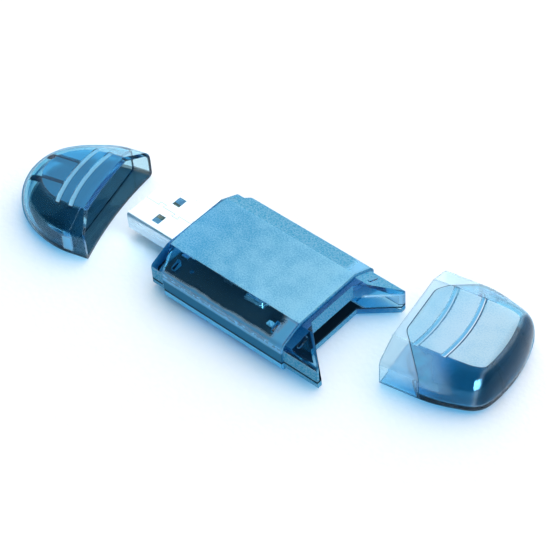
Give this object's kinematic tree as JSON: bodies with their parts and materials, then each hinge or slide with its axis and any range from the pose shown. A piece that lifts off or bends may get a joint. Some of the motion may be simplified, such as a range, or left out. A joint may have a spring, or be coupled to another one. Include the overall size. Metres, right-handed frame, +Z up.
{
  "type": "usb memory card reader",
  "caption": "Pocket USB memory card reader in transparent blue plastic, lying flat between its plug cap and its card cap, both taken off.",
  "frame": {"origin": "on the underside of the body, under the middle of its sleeve", "axes": "+X from the plug towards the card mouth, +Z up, away from the surface it lies on"},
  "size_m": [0.1137, 0.0437, 0.009],
  "materials": {
    "clear_blue_plastic": "polished, with frosted top flats",
    "plug_steel": "bright nickel plate",
    "black_insulator": "moulded",
    "white_insulator": "moulded",
    "gold_plate": "plated",
    "solder": "reflowed",
    "board_laminate": "solder mask",
    "socket_steel": "stamped",
    "chip_resin": "moulded",
    "tinned_leads": "tin plate",
    "crystal_can": "drawn lid",
    "led_lens": "clear lens",
    "tantalum_yellow": "moulded",
    "ceramic_tan": "fired",
    "resistor_black": "glazed",
    "ferrite_grey": "fired"
  },
  "bodies": {
    "root": {"upper_shell": "clear_blue_plastic", "lower_shell": "clear_blue_plastic", "usb_cap": "clear_blue_plastic", "card_cap": "clear_blue_plastic", "usb_plug_shell": "plug_steel", "usb_tongue": "white_insulator", "usb_contacts": "gold_plate", "plug_solder": "solder", "circuit_board": "board_laminate", "card_socket_frame": "black_insulator", "card_socket_cover": "socket_steel", "card_contacts": "gold_plate", "detect_switch": "gold_plate", "protect_switch": "gold_plate", "controller_chip": "chip_resin", "controller_leads": "tinned_leads", "crystal": "crystal_can", "regulator_body": "chip_resin", "regulator_leads": "tinned_leads", "activity_led": "led_lens", "tantalum_capacitor": "tantalum_yellow", "ceramic_capacitors": "ceramic_tan", "chip_resistors": "resistor_black", "ferrite_beads": "ferrite_grey"}
  },
  "joints": []
}
